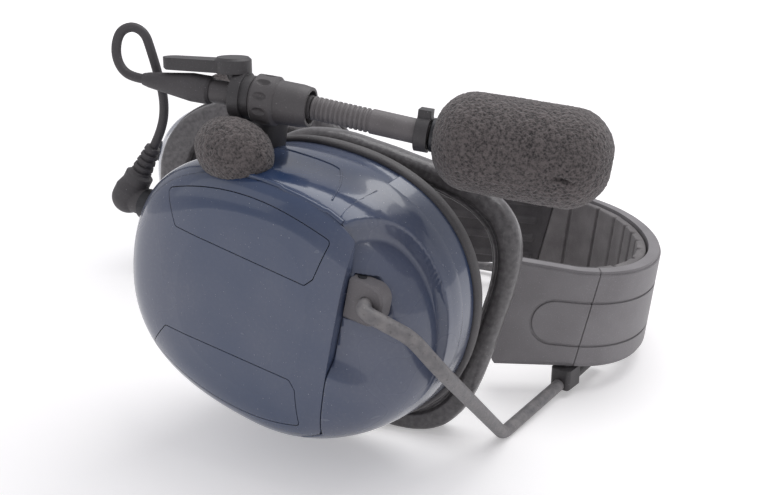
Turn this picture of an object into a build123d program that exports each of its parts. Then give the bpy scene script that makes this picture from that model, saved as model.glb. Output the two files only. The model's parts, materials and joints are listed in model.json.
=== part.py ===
from build123d import *
import math
import os

# Communication ear-muffs lying on a table: two sound-proof cups with radio electronics, a sprung
# headband, two bent steel yoke wires and a microphone boom clamped to the left cup.
# Units are millimetres, +Z is up and the table is z = 0. The headband lies on its edge, with its
# crown towards +X and the left side of the wearer towards -Y.
#
# Cup frame: u points to the crown when the set is worn, v to the front of the head and w outwards.
# The rim that faces the head is the plane w = 0. Both cups are modelled in the left cup's frame,
# and the right one is its mirror image in v.

os.makedirs("parts", exist_ok=True)

# ---------------------------------------------------------------- driving dimensions
# cup dome
cup_depth = 41.0          # rim to the outer face
rim_right = 51.3          # half-length towards the crown
rim_left = 50.4           # half-length away from the crown, at the rim
belly = 10.9              # how much further the lower end swells above the rim
belly_height = 26.0       # height at which the swelling is complete
rim_half_width = 45.1
waist_taper = 2.8         # loss of half-width up to the belly height
round_right = 2.2         # superellipse exponents of the plan
round_left = 2.46
wall = 2.4
dome_levels = (0.0, 0.2, 0.39, 0.58, 0.73, 0.84, 0.915, 0.966, 0.985, 0.995)

# deck under the battery door, and the door
deck_top = 35.6
deck_thickness = 2.1
door_lift = 0.2           # door edge above the deck
door_end = 24.5           # door's edge towards the crown
door_corner = 6.0
door_gap = 0.3            # between the door's end and the shell
door_wall = 2.2
button_gap = 0.25
button_underside = 36.5
panel_outline = [(-42.0, 27.0), (-35.4, 17.0), (13.2, 15.5), (15.6, 18.3), (18.3, 30.5)]
panel_bulge = (-12.0, 34.6)      # a point on the curved outer edge of each panel
panel_corner = 1.5

# finger recess beside the pivot
recess_shift = (-2.0, -6.0, -3.0)
recess_start = 19.0
recess_floor = 17.0

# battery bay
cell_radius = 5.2
cell_length = 44.5
bay_clearance = 0.1
bay_centre_u = -13.5
bay_wall = 1.5

# pivot block in its pocket
block_start = 25.1
block_end = 36.5
block_low = 31.2
block_high = 37.0
block_v = 15.25
block_width = 12.5
block_pocket_gap = 0.4
block_pocket_depth = 1.3
pin_u = 27.2
pin_w = 33.5
pin_radius = 1.3
pin_reach = 2.2           # how far the pin goes into each wall of the pocket
running = 0.05            # radial clearance of everything that turns or slides
housing_wall = 2.2
wire_hole_u = 31.5
wire_hole_v = 15.5

# rim ring, baffle and what it carries
ring_height = 2.2
ring_width = 9.0
baffle_thickness = 1.8
baffle_clearance = 1.0
driver_radius = 20.0
driver_height = 9.0
magnet_radius = 12.0
magnet_height = 4.0
foam_gap = 0.2
foam_thickness = 5.5
foam_inset = 4.5
screw_places = [(34.0, 27.0), (34.0, -27.0), (-36.0, 27.0), (-36.0, -27.0)]
screw_radius = 1.3
screw_head_radius = 2.6
screw_head_height = 1.0
screw_length = 7.0
boss_radius = 5.8
boss_height = 9.0

# circuit board hung under the deck
board_size = (46.0, 18.0, 1.6)
board_centre = (-10.0, 24.0)
board_drop = 5.0          # below the underside of the deck
board_post_radius = 2.0

# ambient microphone with its foam ball, on the front wall
ball_centre = (-28.0, 44.0, 30.5)
ball_radius = 12.3
ball_half_depth = 9.2
nub_radius = 4.0
nub_top = 46.0
nub_root = 34.0

# jack in the lower end wall
jack_v = 12.4
jack_w = 24.7
jack_mouth = -61.2
jack_depth = 16.0
jack_radius = 3.6
jack_flange_radius = 5.2
jack_flange = 1.4
jack_bore = 1.8
jack_bore_length = 14.0

# where the cups lie
left_cup_centre = (-8.6, -73.5, 55.2)
left_u = (0.875, -0.447, -0.187)
left_w = (-0.450, -0.893, 0.032)
right_cup_centre = (-59.0, 86.8, 46.0)

# ear cushions
cushion_thickness = 10.0
cushion_round = 3.0
left_cushion_centre = (3.0, -1.4, -17.0)
left_cushion_turn = (-6.3, 7.2, -4.6)     # degrees about u, v, w: it hangs unclipped
left_cushion_half = (47.8, 45.6)
left_cushion_width = 8.0
left_cushion_exponent = 3.2
right_cushion_width = 13.0
right_cushion_bulge = 0.9
right_cushion_gap = 0.3

# headband
band_centre = (76.5, 14.9, 30.7)
band_tilt = 5.157         # degrees, the crown lies lower than the legs
band_half_span = 61.3
band_arc_depth = 42.2
band_exponent = 2.09
band_half_width = 19.0
leg_length = 70.0
left_leg_length = 28.0    # the left leg ends sooner, behind the loose cushion
left_leg_corner = 9.0
leg_flare = 5.1
leg_end_radius = 16.0
cover_thickness = 5.0
spring_thickness = 0.6
spring_half_width = 8.0
spring_play = 0.1
liner_thickness = 3.8
seam_low = 3.4            # where the crown cover starts, at the lower and the upper edge
seam_high = 8.0
seam_gap = 0.25
edge_bevel = 1.2
rib_height = 1.4
rib_width = 3.0
rib_places = (-13.5, -4.5, 4.5, 13.5)
pad_grooves = 9
pad_groove_width = 1.4
pad_groove_depth = 1.6
line_half_height = 9.1
line_centre_z = -1.8
line_start = -15.3
line_width = 0.9
line_depth = 0.5
band_screw_places = (-14.0, -52.0)
left_screw_places = (-8.0, -20.0)
band_screw_radius = 1.6
band_screw_head = 3.2

# wire guide under each leg, and the yoke wires
guide_along = -0.3        # from the band's centre towards the crown
guide_inset = 2.5         # from the leg's outer face to the axis of the guide
guide_size = (10.0, 8.0)
guide_bottom = 2.7
guide_top = 10.9
guide_pin_radius = 1.6
guide_pin_top = 20.0
guide_boot_length = 24.0
guide_boot_radius = 2.8
guide_wire_z = 5.2
wire_radius = 1.5
sleeve_radius = 2.25
sleeve_play = 0.3
wire_reach = 22.0         # straight end inside the guide when pushed fully in
right_pulled_out = 11.0
left_knees = [(31.5, 15.5, 41.0), (46.6, 10.9, 35.8), (54.6, 1.4, 29.2)]
left_bend = (49.6, -79.9, 2.07)
right_knees = [(31.5, 15.5, 40.6), (47.0, 6.0, 37.0)]
right_bend = (28.8, 105.0, 2.07)
wire_bend_radii = (2.9, 12.0, 18.0, 7.0)
right_bend_radii = (3.2, 12.0, 7.0)

# microphone boom, on its own axis: s = 0 at the middle of the clamp nut
boom_centre = (-22.2, 57.9, 19.5)
boom_axis = (0.9695, 0.0742, -0.233)
boom_radius = 3.6
nut_radius = 7.5
nut_half = 3.9
nut_cone_start = 6.6
nut_cone_end = 5.9        # leaves a wall round the thread's bore
nut_cone_length = 10.0
nut_dimples = 10
thread_radius = 4.9
collar_start = -10.3
collar_step = -6.8
collar_end = -4.1
collar_radius = 7.4
collar_flange_radius = 6.6
boom_tail = -18.1
boot_end = -41.7
boot_radius = 4.4
boot_tip_radius = 1.9
neck_start = 14.6
neck_end = 51.0
neck_radius = 3.6
neck_ridges = 12
neck_ridge_pitch = 1.5
neck_sag = 3.1            # degrees
capsule_radius = 5.0
capsule_length = 13.0
windscreen_radius = 14.4
windscreen_length = 51.5
windscreen_round = 11.0
clip_length = 4.0

# swivel foot of the boom
foot_u = -28.0
foot_w = 8.5
foot_radius = 3.0
foot_low = 39.5
socket_radius = 6.0
socket_top = 49.4
arm_thickness = 3.2
arm_width = 8.0
lever_hub = (-34.8, 65.8, 21.8)
lever_hub_radius = 5.6
lever_hub_height = 4.6
lever_tip = (-54.0, 62.4, 26.2)
lever_tip_radius = 3.3

# microphone cord and plug
cord_radius = 1.5
cord_route = [(-74.2, -72.7, 124.6), (-75.7, -71.9, 128.6), (-75.4, -71.1, 132.9), (-73.7, -70.4, 136.3),
              (-70.0, -69.7, 137.4), (-66.8, -69.0, 135.1), (-65.8, -68.4, 130.8), (-64.3, -67.7, 123.4),
              (-62.8, -66.9, 113.5)]
cord_lead = 4.4           # straight run out of the boot, and into the plug
plug_top = (-68.0, -66.1, 98.2)
plug_pin_radius = 1.75
plug_pin_length = 13.0
plug_elbow_radius = 5.6
plug_elbow_out = 8.0
plug_body_radius = 4.6
plug_relief_radius = 3.4
plug_relief_length = 9.0


# ---------------------------------------------------------------- frames
LEFT = Plane(origin=left_cup_centre, x_dir=left_u, z_dir=left_w)
RIGHT = Plane(origin=right_cup_centre, x_dir=(1, 0, 0), z_dir=(0, 1, 0))
BAND = Plane(
    origin=band_centre,
    x_dir=(math.cos(math.radians(band_tilt)), 0, -math.sin(math.radians(band_tilt))),
    z_dir=(math.sin(math.radians(band_tilt)), 0, math.cos(math.radians(band_tilt))),
)
boom_x = Vector(*boom_axis).normalized()
boom_z = (Vector(0, 1, 0) - boom_x * Vector(0, 1, 0).dot(boom_x)).normalized()
BOOM = Plane(origin=boom_centre, x_dir=boom_x, z_dir=boom_z)
neck_drop = (neck_end - neck_start) * math.sin(math.radians(neck_sag))
MIC = Plane(origin=(neck_end, 0, -neck_drop), x_dir=(1, 0, 0), z_dir=(0, 0, 1))


def on_left(shape):
    """Put a shape from the cup frame on the left cup."""
    return LEFT.location * shape


def on_right(shape):
    """Put the mirror image of a shape from the cup frame on the right cup."""
    return RIGHT.location * mirror(shape, about=Plane.XZ)


def on_boom(shape):
    """Put a shape that is drawn along the boom's x axis on the boom."""
    return on_left(BOOM.location * shape)


def cup_point(plane, u, v, w, front=1):
    """The place in the model of a point given in the cup frame."""
    return plane.from_local_coords(Vector(u, front * v, w))


def write(name, shape):
    """Save one named piece."""
    export_step(shape, f"parts/{name}.step")


# ---------------------------------------------------------------- common forms
def handle(exponent):
    """Length of a Bezier handle that follows a superellipse of this exponent."""
    return (8 * 2 ** (-1 / exponent) - 4) / 3


def oval(right, left, half_width, n_right, n_left, height=0.0):
    """Face bounded by four quarter superellipses in the plane at this height."""
    k = handle(n_right)
    m = handle(n_left)
    h = height
    front = half_width
    arcs = [
        Bezier((right, 0, h), (right, k * front, h), (k * right, front, h), (0, front, h)),
        Bezier((0, front, h), (-m * left, front, h), (-left, m * front, h), (-left, 0, h)),
        Bezier((-left, 0, h), (-left, -m * front, h), (-m * left, -front, h), (0, -front, h)),
        Bezier((0, -front, h), (k * right, -front, h), (right, -k * front, h), (right, 0, h)),
    ]
    return Face(Wire(arcs))


def closing(share, exponent):
    """How much of a half-axis is left at this share of the cup's depth."""
    return (1 - share ** exponent) ** (1 / exponent)


def dome_section(share, inset=0.0):
    """Plan of the cup at a share of its depth, all round smaller by the inset."""
    swell = math.sin(math.pi / 2 * min(1, share * cup_depth / belly_height))
    right = rim_right * closing(share, 3.4) - inset
    left = (rim_left + belly * swell) * closing(share, 5.6) - inset
    half_width = (rim_half_width - waist_taper * swell) * closing(share, 6.8) - inset
    return oval(right, left, half_width, round_right, round_left, share * (cup_depth - inset))


def dome(inset=0.0):
    """The cup's outer envelope, or a smaller copy of it."""
    return loft([dome_section(share, inset) for share in dome_levels])


def slab(low, high, size=400.0):
    """Everything between two heights."""
    return Pos(0, 0, (low + high) / 2) * Box(size, size, high - low)


def block(u, v, w):
    """Box between pairs of limits."""
    centre = Pos(sum(u) / 2, sum(v) / 2, sum(w) / 2)
    return centre * Box(u[1] - u[0], v[1] - v[0], w[1] - w[0])


def rod(radius, start, end):
    """Cylinder between two points."""
    axis = Vector(*end) - Vector(*start)
    return Plane(origin=start, z_dir=axis).location * Pos(0, 0, axis.length / 2) * Cylinder(radius, axis.length)


def turned(profile):
    """Revolve a list of (station, radius) points about the x axis."""
    outline = [(profile[0][0], 0.0)] + list(profile) + [(profile[-1][0], 0.0)]
    face = make_face(Polyline(*outline, close=True))
    return revolve(face, axis=Axis.X)


def bent(points, radii, section):
    """Sweep a section along straight runs joined by arcs."""
    path = FilletPolyline(*points, radius=list(radii))
    start = Plane(origin=points[0], z_dir=path % 0)
    return sweep(start * section, path=path)


OUTER = dome()
INNER = dome(wall)


# ---------------------------------------------------------------- cups
def door_plan(grown=0.0):
    """Outline of the battery door seen from outside."""
    edge = door_end + grown
    corner_v = 31.3
    plan = Plane.XY.location * Rectangle(120, 140, align=(Align.MAX, Align.CENTER))
    plan = Pos(edge, 0, 0) * plan
    rim = dome_section(deck_top / cup_depth)
    rim = Pos(0, 0, -deck_top) * rim
    plan = plan & offset(rim, amount=0.6)
    corners = [p for p in plan.vertices() if abs(p.X - edge) < 1.0 and abs(p.Y) > corner_v - 8]
    return fillet(corners, door_corner)


def above(plan, height):
    """Everything over a plan, from a height upwards."""
    return Pos(0, 0, height) * extrude(plan, amount=60)


def pivot_pocket(grown):
    """Room of the pivot block, grown on its sides."""
    v0 = block_v - block_width / 2 - grown
    v1 = block_v + block_width / 2 + grown
    return block((block_start - grown, block_end + 2 * grown), (v0, v1), (block_low - block_pocket_depth, 60))


def cell_places():
    """Middles of the two cells across the bay."""
    return (-cell_radius - bay_clearance / 2, cell_radius + bay_clearance / 2)


def bay(grown=0.0):
    """Battery bay under the door."""
    half_u = cell_length / 2 + bay_clearance + 0.2 + grown
    half_v = 2 * cell_radius + 2 * bay_clearance + grown
    floor = deck_top - 2 * cell_radius - bay_clearance - grown
    top = deck_top + 1 if grown == 0 else deck_top
    return block((bay_centre_u - half_u, bay_centre_u + half_u), (-half_v, half_v), (floor, top))


def jack_rod(radius, start, end):
    """Round bar on the axis of the jack."""
    return rod(radius, (start, jack_v, jack_w), (end, jack_v, jack_w))


def under_recess():
    """Where the inside of the cup follows the finger recess."""
    return block((recess_start - 2, 80), (-60, 60), (recess_floor - 5, 60))


def cup_shell(powered):
    """Moulded cup with its deck, pivot pocket, screw bosses and finger recess."""
    deck_low = deck_top - deck_thickness
    shell = OUTER - above(door_plan(door_gap), deck_top)
    shifted = Pos(*recess_shift)
    region = block((recess_start, 80), (-60, 60), (recess_floor, 60))
    shell -= (OUTER & region) - shifted * OUTER
    room = INNER & slab(-1, deck_low)
    room = room - ((room & under_recess()) - shifted * INNER)
    housing = pivot_pocket(housing_wall + pin_reach)
    room -= housing & slab(block_low - block_pocket_depth - housing_wall, 60)
    if powered:
        room -= bay(bay_wall)
        for post_u in (-1, 1):
            centre = (board_centre[0] + post_u * (board_size[0] / 2 - 3), board_centre[1], deck_low - board_drop / 2)
            room -= Pos(*centre) * Cylinder(board_post_radius, board_drop)
    for u, v in screw_places:
        room -= Pos(u, v, boss_height / 2 + baffle_thickness / 2) * Cylinder(boss_radius, boss_height - baffle_thickness)
    shell -= room
    shell -= pivot_pocket(block_pocket_gap)
    shell -= pivot_pin(running, 0.2)
    shell -= jack_rod(jack_radius + running, jack_mouth - 5, jack_mouth + jack_depth + 1)
    for u, v in screw_places:
        shell -= rod(screw_radius, (u, v, 0), (u, v, screw_length))
    if powered:
        shell -= bay()
        shell -= rod(foot_radius + 0.5, (foot_u, foot_low - 0.5, foot_w), (foot_u, 60, foot_w))
    shell -= rod(nub_radius, (ball_centre[0], nub_root, ball_centre[2]), (ball_centre[0], 60, ball_centre[2]))
    return shell


def rim_ring():
    """Hard ring on the rim, which the cushion clips to."""
    outer = extrude(dome_section(0), amount=-ring_height)
    inner = extrude(dome_section(0, ring_width), amount=-ring_height)
    return chamfer((outer - inner).faces().sort_by(Axis.Z)[0].edges(), 0.5)


def baffle_plate():
    """Plate in the cup's mouth that carries the loudspeaker."""
    plate = extrude(dome_section(0, wall + baffle_clearance), amount=baffle_thickness)
    for v in (-12, -6, 0, 6, 12):
        length = 2 * math.sqrt(15.5 ** 2 - v ** 2)
        plate -= extrude(Pos(0, v, 0) * SlotOverall(length, 2.6), amount=baffle_thickness)
    for u, v in screw_places:
        plate -= rod(screw_radius + 0.2, (u, v, -1), (u, v, 5))
        plate -= rod(screw_head_radius + 0.2, (u, v, -1), (u, v, screw_head_height + 0.1))
    return plate


def baffle_screws():
    """Four screws that hold the baffle to the shell's bosses."""
    screws = []
    for u, v in screw_places:
        shank = rod(screw_radius, (u, v, screw_head_height), (u, v, screw_length))
        head = rod(screw_head_radius, (u, v, 0.05), (u, v, screw_head_height))
        screws.append(shank + head)
    return Compound(children=screws)


def driver():
    """Loudspeaker on the back of the baffle."""
    frame = Pos(0, 0, baffle_thickness) * Cylinder(driver_radius, driver_height, align=(Align.CENTER, Align.CENTER, Align.MIN))
    frame = chamfer(frame.edges().sort_by(Axis.Z)[-1], 4.0)
    base = baffle_thickness + driver_height
    magnet = Pos(0, 0, base) * Cylinder(magnet_radius, magnet_height, align=(Align.CENTER, Align.CENTER, Align.MIN))
    return frame + magnet


def foam_liner():
    """Sound-deadening foam over the loudspeaker."""
    low = baffle_thickness + driver_height + magnet_height + foam_gap
    pad = dome(foam_inset) & slab(low, low + foam_thickness)
    return pad - ((pad & under_recess()) - Pos(*recess_shift) * dome(foam_inset))


def circuit_board():
    """Board under the deck, with its larger components."""
    top = deck_top - deck_thickness - board_drop
    cu, cv = board_centre
    board = Pos(cu, cv, top - board_size[2] / 2) * Box(*board_size)
    under = top - board_size[2]
    for u, length, height in ((-16, 7, 1.4), (-4, 10, 1.2), (9, 6, 2.6)):
        board += Pos(cu + u, cv, under - height / 2) * Box(length, 8, height)
    return board


def batteries():
    """Two cells side by side in the bay."""
    cells = []
    middle = deck_top - cell_radius - bay_clearance / 2
    for v in cell_places():
        ends = [bay_centre_u - cell_length / 2, bay_centre_u + cell_length / 2]
        cell = rod(cell_radius, (ends[0], v, middle), (ends[1] - 1, v, middle))
        cells.append(cell + rod(1.9, (ends[1] - 1, v, middle), (ends[1], v, middle)))
    return Compound(children=cells)


def mic_nub():
    """Stem of the ambient microphone in the front wall."""
    u, v, w = ball_centre
    return rod(nub_radius, (u, nub_root, w), (u, nub_top, w))


def mic_foam():
    """Foam ball over the ambient microphone, cut to the wall that it sits on."""
    half = ball_half_depth
    profile = Ellipse(ball_radius, half) & (Pos(ball_radius, 0) * Rectangle(2 * ball_radius, 4 * half))
    ball = Pos(*ball_centre) * revolve(Plane.XZ * profile, axis=Axis.Z)
    dent = BOOM.location * rod(nut_radius + 3 * foam_gap, (-30, 0, 0), (30, 0, 0))
    ball -= dent
    ball -= OUTER
    return ball - mic_nub()


def jack_socket():
    """Panel jack in the lower end of the cup."""
    barrel = jack_rod(jack_radius, jack_mouth, jack_mouth + jack_depth)
    flange = jack_rod(jack_flange_radius, jack_mouth - 0.01, jack_mouth + jack_flange + 2.2)
    bore = jack_rod(jack_bore, jack_mouth - 1, jack_mouth + jack_bore_length)
    return barrel + (flange - OUTER) - bore


def door():
    """Battery door: the outer face of the cup, with two windows for the buttons."""
    plan = door_plan()
    cover = (OUTER & above(plan, deck_top + door_lift)) - (dome(door_wall) & block((-90, door_end - door_wall), (-60, 60), (0, 60)))
    for front in (1, -1):
        cover -= above(panel(front, 0.0), 0)
    return cover


def panel(front, inset):
    """Plan of one button panel."""
    corners = [(u, front * v) for u, v in panel_outline]
    bulge = (panel_bulge[0], front * panel_bulge[1])
    face = make_face([Polyline(*corners), ThreePointArc(corners[-1], bulge, corners[0])])
    face = fillet(face.vertices(), panel_corner)
    if inset:
        face = offset(face, amount=-inset)
    return face


def button(front):
    """Press panel that fills its window in the door."""
    return (OUTER & above(door_plan(), button_underside)) & above(panel(front, button_gap), 0)


def pivot_pin(grown=0.0, longer=0.0):
    """Pin on which the pivot block tilts."""
    half = block_width / 2 + block_pocket_gap + pin_reach + longer
    return rod(pin_radius + grown, (pin_u, block_v - half, pin_w), (pin_u, block_v + half, pin_w))


def pivot_block():
    """Block that holds the end of the yoke wire."""
    half = block_width / 2
    body = block((block_start, block_end), (block_v - half, block_v + half), (block_low, block_high))
    nose = body.edges().filter_by(Axis.Z).sort_by(Axis.X)[-2:]
    body = fillet(nose, 4.6)
    body = chamfer(body.faces().sort_by(Axis.Z)[-1].edges().sort_by(Axis.X)[1:], 0.7)
    body -= rod(sleeve_radius + running, (wire_hole_u, wire_hole_v, 20), (wire_hole_u, wire_hole_v, 60))
    return body - pivot_pin()


def cushion_ring(right, left, half_width, n_right, n_left, width, top):
    """Padded ring whose outer edge is the given oval."""
    outer = extrude(oval(right, left, half_width, n_right, n_left, top), amount=-cushion_thickness)
    inner = extrude(oval(right - width, left - width, half_width - width, n_right, n_left, top), amount=-cushion_thickness)
    ring = outer - inner
    return fillet(ring.edges().filter_by(GeomType.LINE, reverse=True), cushion_round)


def left_cushion():
    """Ear cushion that has come off its rim and leans beside it."""
    half = left_cushion_width / 2
    a, b = left_cushion_half
    n = left_cushion_exponent
    ring = cushion_ring(a + half, a + half, b + half, n, n, left_cushion_width, cushion_thickness / 2)
    ru, rv, rw = left_cushion_turn
    return Pos(*left_cushion_centre) * Rot(0, 0, rw) * Rot(0, rv, 0) * Rot(ru, 0, 0) * ring


def right_cushion():
    """Ear cushion clipped on its rim."""
    grown = right_cushion_bulge
    sizes = (rim_right + grown, rim_left + grown, rim_half_width + grown)
    return cushion_ring(*sizes, round_right, round_left, right_cushion_width, -ring_height - right_cushion_gap)


# ---------------------------------------------------------------- headband
def band_curve(depth):
    """Half-axes of the band's plan at a depth below its outer face."""
    return band_arc_depth - depth, band_half_span - depth


def band_layer(outside, inside):
    """Flat layer of the band between two depths, as wide as the band ever gets."""
    a0, b0 = band_curve(outside)
    a1, b1 = band_curve(inside)
    k = handle(band_exponent)
    edges = [
        Line((-leg_length, -b0), (0, -b0)),
        Bezier((0, -b0), (k * a0, -b0), (a0, -k * b0), (a0, 0)),
        Bezier((a0, 0), (a0, k * b0), (k * a0, b0), (0, b0)),
        Line((0, b0), (-leg_length, b0)),
        Line((-leg_length, b0), (-leg_length, b1)),
        Line((-leg_length, b1), (0, b1)),
        Bezier((0, b1), (k * a1, b1), (a1, k * b1), (a1, 0)),
        Bezier((a1, 0), (a1, -k * b1), (k * a1, -b1), (0, -b1)),
        Line((0, -b1), (-leg_length, -b1)),
        Line((-leg_length, -b1), (-leg_length, -b0)),
    ]
    reach = band_half_width + leg_flare + 1
    return extrude(Face(Wire(edges)), amount=reach, both=True)


def side_view(outline, half=90.0):
    """Extrude an outline drawn in the band's x and z across the whole band."""
    return extrude(Plane.XZ * outline, amount=half, both=True)


def band_outline(half_width, flare, shorter=0.0):
    """Side view of the band: straight crown, legs that widen to a round end."""
    end = -leg_length + shorter
    top = half_width + flare * (1 - shorter / leg_length)
    points = [(60, half_width), (0, half_width), (end, top), (end, -top), (0, -half_width), (60, -half_width)]
    face = make_face(Polyline(*points, close=True))
    return fillet(face.vertices().filter_by(lambda p: p.X < end + 1), min(leg_end_radius, top - 1))


def seam_side(crown):
    """Side view of everything on one side of the slanting seam."""
    low = seam_low + (seam_gap if crown else 0)
    high = seam_high + (seam_gap if crown else 0)
    far = 80 if crown else -90
    reach = 30
    slope = (high - low) / (2 * band_half_width)
    x0 = low - slope * (reach - band_half_width)
    x1 = high + slope * (reach - band_half_width)
    return make_face(Polyline((x0, -reach), (x1, reach), (far, reach), (far, -reach), close=True))


def engraved_line():
    """Shallow line that runs round the band's outer face."""
    half = line_half_height
    centre = line_start + half
    outer = Pos(centre + 45, line_centre_z) * SlotOverall(90 + 2 * half, 2 * half)
    inner = Pos(centre + 45, line_centre_z) * SlotOverall(90 + 2 * half - 2 * line_width, 2 * half - 2 * line_width)
    return side_view(outer - inner) & band_layer(-1, line_depth)


def band_side(shape, left):
    """The half of a shape on one side of the head."""
    keep = block((-100, 100), (-90, 0) if left else (0, 90), (-60, 60))
    return shape & keep


def covers():
    """The crown cover and the two leg plates, before they are drilled."""
    skin = band_layer(0, cover_thickness) & side_view(band_outline(band_half_width, leg_flare))
    rim = band_layer(-1, edge_bevel) & side_view(band_outline(band_half_width, leg_flare))
    rim -= side_view(band_outline(band_half_width - edge_bevel, leg_flare, edge_bevel))
    outer_edges = rim - band_layer(edge_bevel * 0.5, 20)
    skin = skin - outer_edges - engraved_line()
    crown = skin & side_view(seam_side(True))
    legs = skin & side_view(seam_side(False))
    return crown, band_side(legs, True), band_side(legs, False)


def left_leg_end(shape):
    """Shorten what reaches along the left leg."""
    reach = 80 + left_leg_length
    kept = Pos(80 - reach / 2, 0) * RectangleRounded(reach, 2 * (band_half_width + leg_flare), left_leg_corner)
    return (shape & side_view(kept) & block((-100, 100), (-90, 0), (-60, 60))) + band_side(shape, False)


def screw_xs(left):
    """Where the screws sit along a leg."""
    return left_screw_places if left else band_screw_places


def liner_layer():
    """Depths of the soft layer under the cover and the spring."""
    start = cover_thickness + spring_thickness + 2 * spring_play
    return start, start + liner_thickness


def band_screw(x, left, radius, head, longer=0.0):
    """Screw through the liner and the spring into the leg plate."""
    side = -1 if left else 1
    start, end = liner_layer()
    y_tip = side * (band_half_span - 1.6 + longer)
    y_seat = side * (band_half_span - end + 1.6)
    y_face = side * (band_half_span - end + 0.2)
    body = rod(radius, (x, y_tip, 0), (x, y_seat, 0))
    return body + rod(head, (x, y_seat, 0), (x, y_face, 0))


def band_pieces():
    """All pieces of the headband, in the band's frame."""
    crown, left_leg, right_leg = covers()
    start, end = liner_layer()
    soft = band_layer(start, end) & side_view(band_outline(band_half_width - 1.0, leg_flare, 1.0))
    ribs = []
    for z in rib_places:
        ribs.append(block((-leg_length + 6, 0), (-90, 90), (z - rib_width / 2, z + rib_width / 2)))
    rib_layer = band_layer(end, end + rib_height)
    liners = soft & side_view(seam_side(False))
    liners += (rib_layer & (Part() + ribs))
    liners = left_leg_end(liners)
    left_leg = left_leg_end(left_leg)
    crown_pad = soft & side_view(seam_side(True))
    deep = band_layer(end - pad_groove_depth, end + 1)
    grooves = []
    for i in range(pad_grooves):
        angle = 180 * (i + 1) / (pad_grooves + 1) - 90
        grooves.append(Rot(0, 0, angle) * block((0, 90), (-pad_groove_width / 2, pad_groove_width / 2), (-25, 25)))
    crown_pad -= deep & (Part() + grooves)
    spring = band_layer(cover_thickness + spring_play, cover_thickness + spring_play + spring_thickness)
    reach = -band_screw_places[1] + 6
    left_reach = left_leg_length - 2
    half = spring_half_width
    spring = (spring & block((-left_reach, 80), (-90, 0), (-half, half))) + (spring & block((-reach, 80), (0, 90), (-half, half)))
    screws = []
    for left in (True, False):
        for x in screw_xs(left):
            screws.append(band_screw(x, left, band_screw_radius, band_screw_head))
            hole = band_screw(x, left, band_screw_radius, band_screw_head + 0.15, 0.2)
            spring -= band_screw(x, left, band_screw_radius + 0.2, band_screw_head)
            liners -= hole
            left_leg -= hole
            right_leg -= hole
    return crown, left_leg, right_leg, liners, crown_pad, spring, Compound(children=screws)


# ---------------------------------------------------------------- guides and wires
def guide_point(left):
    """Where the wire crosses the axis of its guide."""
    side = -1 if left else 1
    out = band_half_span - guide_inset
    return Vector(band_centre[0] + guide_along, band_centre[1] + side * out, guide_wire_z)


def wire_direction(left):
    """Direction in which the wire slides out of its guide."""
    bend = Vector(*(left_bend if left else right_bend))
    return (bend - guide_point(left)).normalized()


def wire_points(left):
    """Corners of the yoke wire, from its end in the pivot block to its end in the guide."""
    plane = LEFT if left else RIGHT
    front = 1 if left else -1
    knees = left_knees if left else right_knees
    foot = cup_point(plane, wire_hole_u, wire_hole_v, block_low + 0.3, front)
    points = [foot] + [cup_point(plane, *knee, front) for knee in knees]
    points.append(Vector(*(left_bend if left else right_bend)))
    out = 0.0 if left else right_pulled_out
    inner_end = guide_point(left) - wire_direction(left) * (wire_reach - out)
    return points, inner_end


def wire_sleeve(left):
    """Plastic sleeve over the bent part of the wire."""
    points, inner_end = wire_points(left)
    out = 0.0 if left else right_pulled_out
    stop = guide_point(left) + wire_direction(left) * (guide_size[0] / 2 + sleeve_play + out)
    radii = wire_radii(left)
    return bent(points + [stop], radii, Circle(sleeve_radius) - Circle(wire_radius))


def wire_radii(left):
    """Bend radii at the corners of the wire."""
    return wire_bend_radii if left else right_bend_radii


def yoke_wire(left):
    """Steel wire from the pivot block to the guide."""
    points, inner_end = wire_points(left)
    return bent(points + [inner_end], wire_radii(left), Circle(wire_radius))


def wire_guide(left):
    """Swivelling lug under the leg with the boot that the wire slides in."""
    centre = guide_point(left)
    along = wire_direction(left)
    flat = Vector(along.X, along.Y, 0).normalized()
    height = guide_top - guide_bottom
    frame = Plane(origin=(centre.X, centre.Y, guide_bottom + height / 2), x_dir=flat, z_dir=(0, 0, 1))
    lug = Box(guide_size[0], guide_size[1], height)
    lug = fillet(lug.edges().filter_by(Axis.Z), 1.6)
    lug = chamfer(lug.faces().sort_by(Axis.Z)[0].edges(), 0.6)
    lug = frame.location * lug
    inner = centre - along * (guide_boot_length + 2)
    lug += rod(guide_boot_radius, tuple(centre), tuple(inner))
    lug += rod(guide_pin_radius, (centre.X, centre.Y, guide_top - 1), (centre.X, centre.Y, guide_pin_top))
    mouth = centre + along * 20
    deep_end = centre - along * guide_boot_length
    return lug - rod(wire_radius + running, tuple(deep_end), tuple(mouth))


def guide_hole(left):
    """Hole in the lower edge of the leg for the guide's pin."""
    centre = guide_point(left)
    return rod(guide_pin_radius + running, (centre.X, centre.Y, 5), (centre.X, centre.Y, guide_pin_top + 0.4))


# ---------------------------------------------------------------- boom
def boom_socket():
    """Boss on the front wall that the boom's foot turns in."""
    boss = rod(socket_radius, (foot_u, foot_low - 2.4, foot_w), (foot_u, socket_top, foot_w))
    boss = boss - OUTER + rod(foot_radius + 0.5, (foot_u, foot_low - 0.5, foot_w), (foot_u, socket_top, foot_w))
    return boss - rod(foot_radius + running, (foot_u, foot_low, foot_w), (foot_u, 60, foot_w))


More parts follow.
